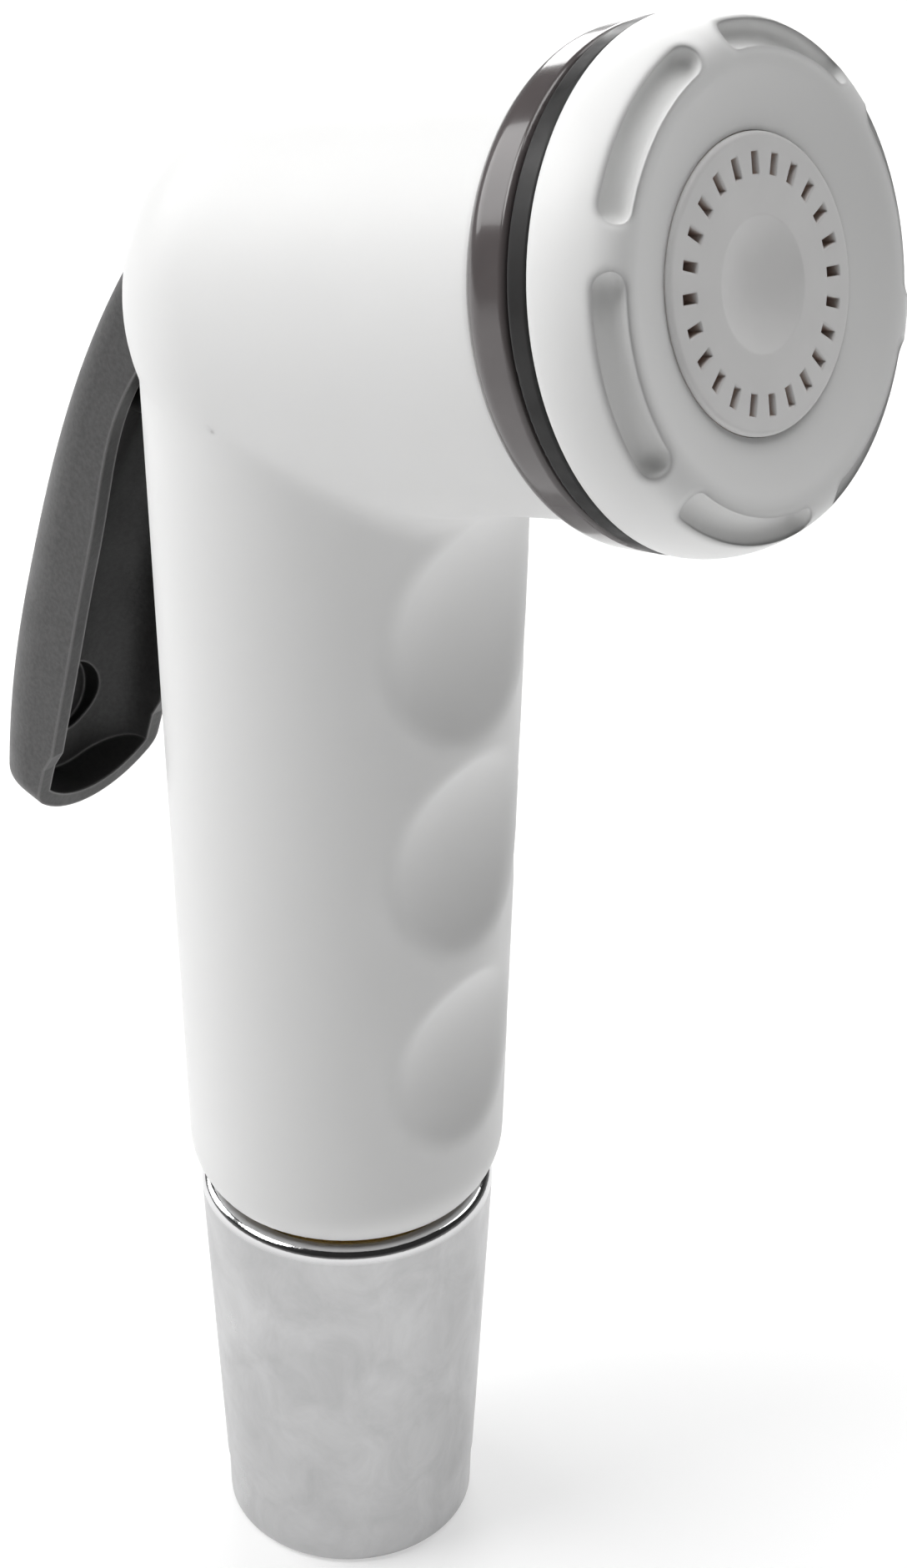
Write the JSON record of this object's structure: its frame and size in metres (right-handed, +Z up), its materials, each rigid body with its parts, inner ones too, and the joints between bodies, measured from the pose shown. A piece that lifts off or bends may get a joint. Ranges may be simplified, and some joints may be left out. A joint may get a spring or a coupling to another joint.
{
  "type": "handheld bidet shower",
  "caption": "Handheld bidet shower: conical hose nut, round handle with finger hollows, rear squeeze lever and a tilted spray barrel with a fluted screw cap.",
  "frame": {"origin": "centre of the conical nut's bottom face, at the mouth of the hose bore", "axes": "+Z up the handle's axis, +X to the spray side, the squeeze lever at -X, Y across; the XZ plane is the plane of symmetry of the main forms"},
  "size_m": [0.0756, 0.0348, 0.1388],
  "materials": {
    "white_plastic": "satin white ABS moulding",
    "cap_plastic": "satin white moulding",
    "grey_plastic": "soft light grey",
    "dark_plastic": "fine satin dark grey",
    "dark_gloss": "gloss dark grey",
    "chrome": "soft polished chrome",
    "brass": "turned brass",
    "steel": "stainless",
    "seal_rubber": "black sealing rubber",
    "filter_plastic": "plain white acetal",
    "brown_plastic": "brown acetal"
  },
  "bodies": {
    "handset": {"conical_nut": "chrome", "inlet_spigot": "brass", "spigot_oring": "seal_rubber", "inlet_strainer": "filter_plastic", "hose_washer": "seal_rubber", "body_shell": "white_plastic", "pivot_pin": "steel", "valve_cartridge": "brass", "cartridge_orings": "seal_rubber", "stem_oring": "seal_rubber", "gland_nut": "brass", "valve_spring": "steel", "trim_ring": "dark_gloss", "mouth_seal": "seal_rubber"},
    "lever": {"lever": "dark_plastic"},
    "stem": {"valve_stem": "steel", "valve_washer": "seal_rubber", "washer_nut": "brass"},
    "cap_slide": {"cap_gasket": "seal_rubber"},
    "cap": {"spray_cap": "cap_plastic", "nozzle_disc": "grey_plastic", "jet_plate": "brown_plastic", "retaining_ring": "filter_plastic"}
  },
  "joints": [
    {"name": "lever_pivot", "type": "hinge", "parent": "handset", "child": "lever", "pos_m": [-0.0099, 0, 0.1122], "axis": [0, -1, 0], "range_deg": [0, 12], "stiffness_Nm_per_rad": 0.5, "springref_deg": -17.19},
    {"name": "stem_slide", "type": "slide", "parent": "handset", "child": "stem", "axis": [1, 0, 0], "range_m": [0, 0.0025], "deforming": ["valve_spring"]},
    {"name": "cap_turn", "type": "hinge", "parent": "cap_slide", "child": "cap", "pos_m": [0, 0, 0.1127], "axis": [0.9627, 0, 0.2706], "range_deg": [0, 900]},
    {"name": "cap_travel", "type": "slide", "parent": "handset", "child": "cap_slide", "axis": [0.9627, 0, 0.2706], "range_m": [0, 0.00376]}
  ],
  "couplings": [
    {"joint": "stem_slide", "follows": "lever_pivot", "m_per_rad": 0.0113},
    {"joint": "cap_travel", "follows": "cap_turn", "m_per_rad": 0.00023873}
  ]
}
